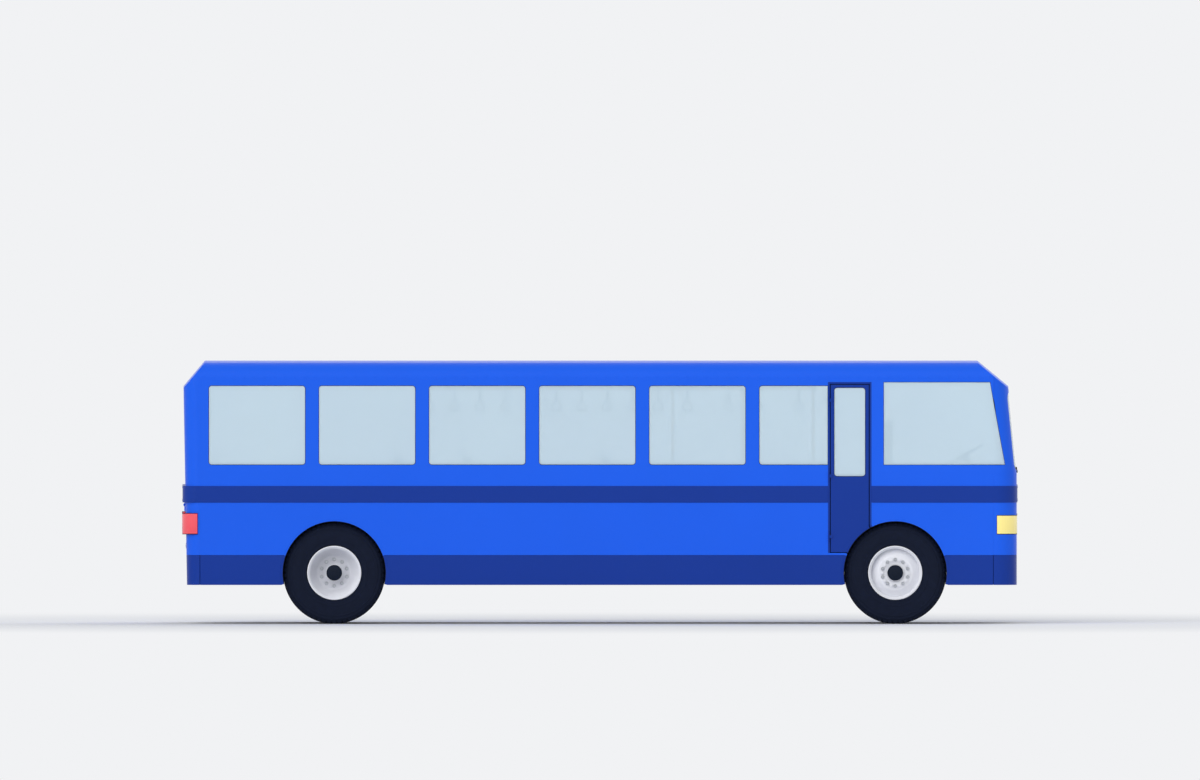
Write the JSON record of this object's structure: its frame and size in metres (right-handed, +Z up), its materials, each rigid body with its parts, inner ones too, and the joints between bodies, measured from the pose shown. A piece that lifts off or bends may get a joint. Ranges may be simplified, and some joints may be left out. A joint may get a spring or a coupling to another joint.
{
  "type": "airport passenger bus",
  "caption": "Single-deck apron bus with a swinging door on each side, side windows, twin rear wheels, steered front wheels and a lifting engine lid.",
  "frame": {"origin": "on the ground, under the middle of the overall length and width", "axes": "+X forward to the nose, +Y to the bus's left, +Z up"},
  "size_m": [9.1877, 2.522, 2.877],
  "materials": {
    "body_paint": "gloss",
    "trim_paint": "gloss",
    "window_glass": "gloss",
    "headlamp": "gloss",
    "tail_lamp": "gloss",
    "black_rubber": "matte",
    "tyre_rubber": "matte",
    "wheel_paint": "satin",
    "chassis_steel": "satin",
    "machined_steel": "satin",
    "floor_cover": "matte",
    "seat_shell": "satin",
    "seat_fabric": "matte",
    "cab_plastic": "satin",
    "handrail": "gloss",
    "engine_paint": "matte"
  },
  "bodies": {
    "coach": {"roof": "body_paint", "side_wall_right": "body_paint", "side_wall_left": "body_paint", "nose_panel": "body_paint", "screen_frame": "body_paint", "tail_panel": "body_paint", "skirts": "trim_paint", "bumpers": "trim_paint", "belt_rail": "trim_paint", "windscreen": "window_glass", "rear_window": "window_glass", "side_glass": "window_glass", "headlamps": "headlamp", "tail_lamps": "tail_lamp", "wipers": "black_rubber", "door_hinges": "trim_paint", "floor_deck": "floor_cover", "wheel_housings": "floor_cover", "chassis_frame": "chassis_steel", "cross_members": "chassis_steel", "tow_brackets": "chassis_steel", "engine": "engine_paint", "tanks": "chassis_steel", "exhaust": "machined_steel", "front_axle": "chassis_steel", "rear_axle": "chassis_steel", "springs": "chassis_steel", "seat_frames": "seat_shell", "seat_cushions": "seat_fabric", "driver_seat": "cab_plastic", "dashboard": "cab_plastic", "steering_wheel": "cab_plastic", "handrails": "handrail"},
    "door_right": {"door_right": "trim_paint", "door_glass_right": "window_glass"},
    "door_left": {"door_left": "trim_paint", "door_glass_left": "window_glass"},
    "engine_lid": {"engine_lid": "body_paint"},
    "knuckle_right": {"knuckle_right": "chassis_steel"},
    "knuckle_left": {"knuckle_left": "chassis_steel"},
    "tie_rod": {"tie_rod": "chassis_steel"},
    "wheel_front_right": {"wheel_front_right": "wheel_paint", "tyre_front_right": "tyre_rubber"},
    "wheel_front_left": {"wheel_front_left": "wheel_paint", "tyre_front_left": "tyre_rubber"},
    "wheel_rear_right": {"wheel_rear_right": "wheel_paint", "tyre_rear_right": "tyre_rubber"},
    "wheel_rear_left": {"wheel_rear_left": "wheel_paint", "tyre_rear_left": "tyre_rubber"}
  },
  "joints": [
    {"name": "door_right_swing", "type": "hinge", "parent": "coach", "child": "door_right", "pos_m": [2.5175, -1.252, 1.7], "axis": [0, 0, -1], "range_deg": [0, 90]},
    {"name": "door_left_swing", "type": "hinge", "parent": "coach", "child": "door_left", "pos_m": [2.5175, 1.252, 1.7], "axis": [0, 0, 1], "range_deg": [0, 90]},
    {"name": "engine_lid_lift", "type": "hinge", "parent": "coach", "child": "engine_lid", "pos_m": [-4.5707, 0, 1.301], "axis": [0, 1, 0], "range_deg": [0, 80]},
    {"name": "steer_left", "type": "hinge", "parent": "coach", "child": "knuckle_left", "pos_m": [3.2475, 0.907, 0.562], "axis": [0, 0, 1], "range_deg": [-35, 35]},
    {"name": "steer_right", "type": "hinge", "parent": "coach", "child": "knuckle_right", "pos_m": [3.2475, -0.907, 0.562], "axis": [0, 0, 1], "range_deg": [-35, 35]},
    {"name": "tie_rod_swing", "type": "hinge", "parent": "knuckle_left", "child": "tie_rod", "pos_m": [3.0875, 0.907, 0.422], "axis": [0, 0, 1], "range_deg": [-35, 35]},
    {"name": "wheel_front_right_spin", "type": "hinge", "parent": "knuckle_right", "child": "wheel_front_right", "pos_m": [3.2475, 0, 0.562], "axis": [0, 1, 0], "continuous": true},
    {"name": "wheel_front_left_spin", "type": "hinge", "parent": "knuckle_left", "child": "wheel_front_left", "pos_m": [3.2475, 0, 0.562], "axis": [0, 1, 0], "continuous": true},
    {"name": "wheel_rear_right_spin", "type": "hinge", "parent": "coach", "child": "wheel_rear_right", "pos_m": [-2.9235, 0, 0.562], "axis": [0, 1, 0], "continuous": true},
    {"name": "wheel_rear_left_spin", "type": "hinge", "parent": "coach", "child": "wheel_rear_left", "pos_m": [-2.9235, 0, 0.562], "axis": [0, 1, 0], "continuous": true}
  ],
  "couplings": [
    {"joint": "steer_right", "follows": "steer_left", "ratio": 1},
    {"joint": "tie_rod_swing", "follows": "steer_left", "ratio": -1}
  ]
}
